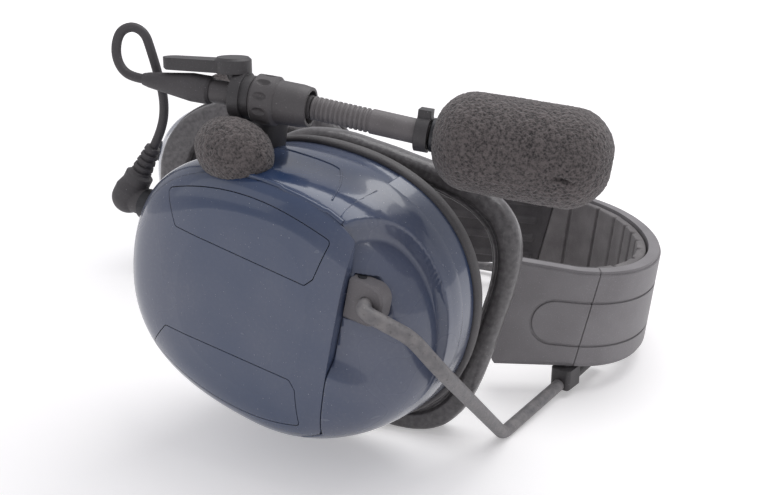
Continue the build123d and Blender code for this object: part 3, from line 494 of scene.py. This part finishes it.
TURN = [math.radians(a) for a in (-6.3, 7.2, -4.6)]
LOOSE = LEFT @ Matrix.Translation((3.0, -3.4, -17.0)) @ Matrix.Rotation(TURN[2], 4, "Z") \
    @ Matrix.Rotation(TURN[1], 4, "Y") @ Matrix.Rotation(TURN[0], 4, "X")
left_cushion = cushion("left_cushion_pad", LOOSE, (47.0, 47.8, 43.6, 3.8, 3.4),
                       cushion_section(4.0, -5.0, 5.0), 260)
right_cushion = cushion("right_cushion_pad", RIGHT, (45.7, 44.8, 39.5, 2.2, 2.46),
                        cushion_section(6.5, -12.5, -2.5), 220)
for piece, body in ((left_cushion, "left_cushion"), (right_cushion, "right_cushion")):
    modify(piece, "SUBSURF", levels=1, render_levels=1)
    modify(piece, "DISPLACE", texture=clouds(piece.name, "CLOUDS", 9.0), strength=0.35 * MM, mid_level=0.5)
    modify(piece, "DISPLACE", texture=clouds(piece.name, "CLOUDS", 2.2), strength=0.12 * MM, mid_level=0.5)
    apply_all(piece)
    dress(piece, body, "leatherette")
    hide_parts(body.replace("_cushion", "_ear_cushion"))


# ---------------------------------------------------------------- cup skins
CUP_DEPTH = 41.0
BELLY_HEIGHT = 26.0
RECESS_SHIFT = Vector((-2.0, -6.0, -3.0))
RECESS_WALL = 3.0         # how far the crease's wall reaches
SKIN_START = 17.5         # where the fine skin begins along the cup
SKIN_LIFT = 0.04
DOOR_EDGE = 24.85
DECK_HEIGHT = 35.55
POCKET_END = 37.3         # pocket of the pivot block
POCKET_SIDES = (8.6, 21.9)
POCKET_FLOOR = 29.9
CREASE = [                # bearing in degrees and height of the recess's edge
    (-52, 33.0), (-42, 28.0), (-30, 23.5), (-17, 19.6), (-6.5, 17.6), (3.5, 17.2), (16, 17.2), (25, 17.6),
    (36, 18.2), (46, 20.0), (53, 23.6), (58.3, 30.1), (60.7, 35.3), (62.0, 41.0),
]
RIM_HALF_WIDTH = 45.1
HALF_WIDTH_LOSS = 2.8     # from the rim up to the belly
CROWN_REACH = 51.3        # towards the headband
TAIL_REACH = 50.4         # away from the headband, at the rim
TAIL_SWELL = 10.9
SIDE_CLOSING, CROWN_CLOSING, TAIL_CLOSING = 6.8, 3.4, 5.6
CROWN_OVAL, TAIL_OVAL = 2.2, 2.46


def closing(share, exponent):
    """How much of a half-axis is left at this share of the cup's depth."""
    return max(0.0, 1 - share ** exponent) ** (1 / exponent)


def quarter(t, exponent):
    """Height of a quarter of an oval along its way from 0 to 1."""
    k = (8 * 2 ** (-1 / exponent) - 4) / 3
    return t ** 3 + 3 * (1 - t) * t * t + 3 * k * (1 - t) ** 2 * t


def dome_point(turn, share):
    """Point of the cup's envelope, in the cup's frame."""
    swell = math.sin(math.pi / 2 * min(1.0, share * CUP_DEPTH / BELLY_HEIGHT))
    half_width = (RIM_HALF_WIDTH - HALF_WIDTH_LOSS * swell) * closing(share, SIDE_CLOSING)
    t = abs(turn) / (math.pi / 2)
    if t <= 1:
        x = CROWN_REACH * closing(share, CROWN_CLOSING) * quarter(1 - t, CROWN_OVAL)
        y = half_width * quarter(t, CROWN_OVAL)
    else:
        x = -(TAIL_REACH + TAIL_SWELL * swell) * closing(share, TAIL_CLOSING) * quarter(t - 1, TAIL_OVAL)
        y = half_width * quarter(2 - t, TAIL_OVAL)
    return Vector((x, math.copysign(y, turn), share * CUP_DEPTH))


def dome_at(bearing, height):
    """Point of the envelope at a bearing in degrees and a height."""
    low, high = -math.pi / 2, math.pi / 2
    for _ in range(30):
        middle = (low + high) / 2
        p = dome_point(middle, height / CUP_DEPTH)
        if math.degrees(math.atan2(p.y, p.x)) < bearing:
            low = middle
        else:
            high = middle
    return dome_point(low, height / CUP_DEPTH)


def through(points, steps):
    """Smooth line through points of any dimension, Catmull-Rom."""
    points = [Vector(p) for p in points]
    ends = [2 * points[0] - points[1]] + points + [2 * points[-1] - points[-2]]
    line = []
    for a, b, c, d in zip(ends, ends[1:], ends[2:], ends[3:]):
        for i in range(steps):
            t = i / steps
            line.append(0.5 * (2 * b + (c - a) * t + (2 * a - 5 * b + 4 * c - d) * t * t
                               + (3 * b - a - 3 * c + d) * t ** 3))
    return line + [points[-1]]


def smoothly(value):
    """0 to 1 with level ends."""
    value = min(1.0, max(0.0, value))
    return value * value * (3 - 2 * value)


def crease_depth():
    """Function that tells how far, 0 to 1, a point of the envelope is sunk into the finger recess."""
    line = through([(a, h, 0) for a, h in CREASE], 14)
    tree = KDTree(len(line))
    for i, p in enumerate(line):
        tree.insert(dome_at(p.x, min(p.y, CUP_DEPTH - 0.2)), i)
    tree.balance()

    def depth(p):
        bearing = math.degrees(math.atan2(p.y, p.x))
        if bearing >= line[-1].x or bearing <= line[0].x:
            return 0.0
        after = next(i for i, q in enumerate(line) if q.x >= bearing)
        a, b = line[after - 1], line[after]
        edge = a.y + (b.y - a.y) * (bearing - a.x) / (b.x - a.x)
        if p.z <= edge:
            return 0.0
        into = min(1.0, tree.find(p)[2] / RECESS_WALL)
        return (1 - (1 - into) ** 2) * smoothly((bearing + 28) / 36)

    return depth


def cup_skin(name, matrix, body):
    """Fine skin of the cup's crown side, with the finger recess and its crisp edge."""
    depth = crease_depth()
    wall_rows, wall_share = 0.6, 0.8      # share of the rows, and of the cup's depth, below the round top
    top_reach = 0.9415                    # how wide the round top starts
    bm = bmesh.new()
    bmesh.ops.create_grid(bm, x_segments=250, y_segments=150, size=1.0)
    for vert in bm.verts:
        rise = (vert.co.y + 1) / 2
        share = rise / wall_rows * wall_share
        if rise >= wall_rows:
            left = 1 - (rise - wall_rows) / (1 - wall_rows)
            share = closing(top_reach * left + 1e-6, TAIL_CLOSING)
        p = dome_point(math.radians(80) * vert.co.x, share)
        vert.co = p + RECESS_SHIFT * depth(p)
    cuts = [((u, 0, 0), (1, 0, 0)) for u in (SKIN_START, DOOR_EDGE, POCKET_END)]
    cuts += [((0, v, 0), (0, 1, 0)) for v in POCKET_SIDES]
    cuts += [((0, 0, DECK_HEIGHT), (0, 0, 1))]
    for at, normal in cuts:
        everything = bm.verts[:] + bm.edges[:] + bm.faces[:]
        bmesh.ops.bisect_plane(bm, geom=everything, plane_co=at, plane_no=normal, dist=1e-5)

    def spare(face):
        u, v, w = face.calc_center_median()
        over_door = u < DOOR_EDGE and w > DECK_HEIGHT
        in_pocket = DOOR_EDGE - 0.15 < u < POCKET_END and POCKET_SIDES[0] < v < POCKET_SIDES[1]
        return u < SKIN_START or over_door or in_pocket and w > POCKET_FLOOR

    bmesh.ops.delete(bm, geom=[f for f in bm.faces if spare(f)], context="FACES")
    bm.normal_update()
    for vert in bm.verts:
        vert.co = matrix @ (vert.co + vert.normal * SKIN_LIFT) * MM
    if matrix.determinant() < 0:
        bmesh.ops.reverse_faces(bm, faces=bm.faces)
    piece = add_mesh(name, bm)
    modify(piece, "SOLIDIFY", thickness=0.5 * MM, offset=-1.0)
    apply_all(piece)
    return dress(piece, body, "navy_shell")


def rim_trim(name, matrix, body):
    """Narrow black band that stands proud of the rim."""
    section = [(-0.8, 0.3), (-0.8, -2.9), (0.9, -3.1), (1.45, -2.6), (1.6, -1.2), (1.45, 0.2), (0.9, 0.9),
               (0.1, 1.2)]

    def point(row, turn):
        out, height = section[row]
        p = dome_point(turn, 0.0)
        p = p * (1 + out / p.length)
        return (p.x, p.y, height)

    piece = skinned(name, matrix, 240, len(section), point)
    return dress(piece, body, "black_plastic", RIM_BLACK)


def bead(name, matrix, body, points, radius, slot, finish=None):
    """Fine raised line that lies on the cup and its door."""
    tree = BEAD_GROUND[body]
    curve = bpy.data.curves.new(name, "CURVE")
    curve.dimensions = "3D"
    line = [tree.find_nearest(matrix @ p * MM)[0] for p in through(points, 10)]
    spline = curve.splines.new("POLY")
    spline.points.add(len(line) - 1)
    for target, p in zip(spline.points, line):
        target.co = (*p, 1.0)
    curve.bevel_depth = radius * MM
    curve.bevel_resolution = 3
    curve.use_fill_caps = True
    piece = bpy.data.objects.new(name, curve)
    bpy.context.scene.collection.objects.link(piece)
    mesh = bpy.data.meshes.new_from_object(piece.evaluated_get(bpy.context.evaluated_depsgraph_get()))
    bpy.data.objects.remove(piece)
    mesh.polygons.foreach_set("use_smooth", [True] * len(mesh.polygons))
    piece = bpy.data.objects.new(name, mesh)
    bpy.context.scene.collection.objects.link(piece)
    return dress(piece, body, slot, finish)


def ground(side):
    """Surface of a cup and its door, to lay fine lines on."""
    bm = bmesh.new()
    for node in (f"{side}_cup_shell", f"{side}_cup_door"):
        bm.from_mesh(nodes[node].data)
    tree = BVHTree.FromBMesh(bm)
    bm.free()
    return tree


BEAD_GROUND = {"left_cup": ground("left"), "right_cup": ground("right")}
CAP_LINE = [(-22.4, 41.5, 10.7), (-12.6, 42.8, 12.3), (1.2, 43.0, 13.7), (5.3, 42.6, 16.5), (9.7, 41.6, 23.8),
            (12.6, 39.4, 32.0)]
RIDGE_LINE = [(-16.0, 39.6, 35.0), (0.0, 39.0, 35.2), (12.0, 37.6, 35.2), (19.0, 35.8, 35.3)]


def short_pin(node, name, matrix, body):
    """Pivot pin cut flush with the cheeks of its block."""
    bm = bmesh.new()
    bm.from_mesh(nodes[node].data)
    bmesh.ops.remove_doubles(bm, verts=bm.verts, dist=1e-6)
    across = (matrix.to_3x3() @ Vector((0, 1, 0))).normalized()
    for v, side_of in ((POCKET_SIDES[1] - 0.2, 1), (POCKET_SIDES[0] + 0.2, -1)):
        cut = bmesh.ops.bisect_plane(bm, geom=bm.verts[:] + bm.edges[:] + bm.faces[:],
                                     plane_co=matrix @ Vector((0, v, 0)) * MM, plane_no=across * side_of,
                                     clear_outer=True, dist=1e-6)["geom_cut"]
        rim = [e for e in cut if isinstance(e, bmesh.types.BMEdge)]
        if rim:
            bmesh.ops.contextual_create(bm, geom=rim)
    bmesh.ops.recalc_face_normals(bm, faces=bm.faces)
    piece = add_mesh(name, bm, smooth=False)
    dress(piece, body, "steel", BLACKENED)
    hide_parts(node)
    return piece


for side, matrix in (("left", LEFT), ("right", RIGHT)):
    cup_skin(f"{side}_recess_skin", matrix, f"{side}_cup")
    rim_trim(f"{side}_rim_trim", matrix, f"{side}_cup")
    bead(f"{side}_cap_line", matrix, f"{side}_cup", CAP_LINE, 0.32, "navy_shell")
    bead(f"{side}_ridge_line", matrix, f"{side}_cup", RIDGE_LINE, 0.75, "navy_shell")
    short_pin(f"{side}_pivot_pin", f"{side}_trimmed_pin", matrix, f"{side}_block")


# ---------------------------------------------------------------- microphone cord
CORD_RADIUS = 1.5
BOOT_END = -41.7
CORD_LEAD = 4.4
PLUG_TOP = Vector((-68.0, -66.1, 98.2))
PLUG_ELBOW = LEFT @ Vector((-69.2, 12.4, 24.7))
CORD_ROUTE = [(-74.2, -72.7, 124.6), (-75.7, -71.9, 128.6), (-75.4, -71.1, 132.9), (-73.7, -70.4, 136.3),
              (-70.0, -69.7, 137.4), (-66.8, -69.0, 135.1), (-65.8, -68.4, 130.8), (-64.3, -67.7, 123.4),
              (-62.8, -66.9, 113.5)]


def cord_points():
    """Control points of the cord, from the boom's boot to the plug."""
    start = [BOOM @ Vector((BOOT_END, 0, 0)), BOOM @ Vector((BOOT_END - CORD_LEAD, 0, 0))]
    lead = PLUG_TOP + (PLUG_TOP - PLUG_ELBOW).normalized() * CORD_LEAD * 1.6
    return start + [Vector(p) for p in CORD_ROUTE] + [lead, PLUG_TOP]


def cord_curve(name, points, radius):
    """Smooth round cord with these control points."""
    curve = bpy.data.curves.new(name, "CURVE")
    curve.dimensions = "3D"
    spline = curve.splines.new("NURBS")
    spline.points.add(len(points) - 1)
    for target, point in zip(spline.points, points):
        target.co = (*(point * MM), 1.0)
    spline.order_u = 3
    spline.use_endpoint_u = True
    spline.resolution_u = 10
    curve.bevel_depth = radius * MM
    curve.bevel_resolution = 6
    curve.use_fill_caps = True
    piece = bpy.data.objects.new(name, curve)
    bpy.context.scene.collection.objects.link(piece)
    return piece


cord = cord_curve("microphone_cord", cord_points(), CORD_RADIUS)
dress(cord, "left_cup", SLOT_OF["mic_cord"])
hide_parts("mic_cord")


# ---------------------------------------------------------------- table, light and camera
def table():
    """White table top."""
    bm = bmesh.new()
    bmesh.ops.create_grid(bm, x_segments=1, y_segments=1, size=3.0)
    top = add_mesh("table_top", bm, smooth=False)
    s = Shader("table_white")
    tone = s.mix(s.noise(160, 2).ramp(0.35, 0.65), (0.90, 0.885, 0.888), (0.92, 0.912, 0.914))
    s.finish(Base_Color=tone, Roughness=0.5, Specular_IOR_Level=0.2)
    seen = s.node("ShaderNodeLightPath", {}, {}, "Is Camera Ray")
    mirrored = s.node("ShaderNodeLightPath", {}, {}, "Is Glossy Ray")
    from_middle = s.node("ShaderNodeVectorMath", {"operation": "LENGTH"}, {0: s.mm}, "Value")
    lift = from_middle.ramp(250, 1800) * 0.5 + 0.30
    light = {"Color": (1.0, 0.985, 0.99, 1.0), "Strength": (seen + mirrored) * lift}
    glow = s.node("ShaderNodeEmission", {}, light, 0)
    both = s.node("ShaderNodeAddShader", {}, {0: Signal(s, s.surface.outputs[0]), 1: glow}, 0)
    s.tree.links.new(both.socket, s.tree.nodes["Material Output"].inputs["Surface"])
    top.data.materials.append(s.material)


def room():
    """Plain bright room: white for the camera, softer light on the object."""
    world = bpy.data.worlds.new("room")
    bpy.context.scene.world = world
    world.use_nodes = True
    tree = world.node_tree
    back = tree.nodes["Background"]
    path = tree.nodes.new("ShaderNodeLightPath")
    mix = tree.nodes.new("ShaderNodeMix")
    mix.data_type = "RGBA"
    mix.inputs[6].default_value = (0.50, 0.50, 0.52, 1)
    mix.inputs[7].default_value = (1, 1, 1, 1)
    tree.links.new(path.outputs["Is Camera Ray"], mix.inputs[0])
    tree.links.new(mix.outputs[2], back.inputs["Color"])
    back.inputs["Strength"].default_value = 1.0


def lamp(name, at, towards, size, power):
    """Square soft lamp."""
    light = bpy.data.lights.new(name, "AREA")
    light.shape = "RECTANGLE"
    light.size, light.size_y = size
    light.energy = power
    made = bpy.data.objects.new(name, light)
    made.location = at
    made.rotation_euler = (Vector(towards) - Vector(at)).to_track_quat("-Z", "Y").to_euler()
    bpy.context.scene.collection.objects.link(made)


def camera():
    """Camera at the viewing angle, height and distance."""
    data = bpy.data.cameras.new("camera")
    data.sensor_width = 36.0
    data.lens = 41.6
    data.clip_start = 0.01
    made = bpy.data.objects.new("camera", data)
    made.location = Vector((19.5, -351.2, 158.9)) * MM
    made.rotation_euler = (math.pi / 2 - 0.32, 0.0, 0.04)
    bpy.context.scene.collection.objects.link(made)
    bpy.context.scene.camera = made


table()
room()
lamp("key", (0.26, 0.16, 0.85), (0.02, 0, 0.03), (0.85, 0.75), 4.6)
lamp("side", (-0.75, -0.30, 0.45), (-0.02, -0.02, 0.05), (0.5, 0.5), 0.35)
camera()
bpy.context.scene.view_settings.view_transform = "Standard"
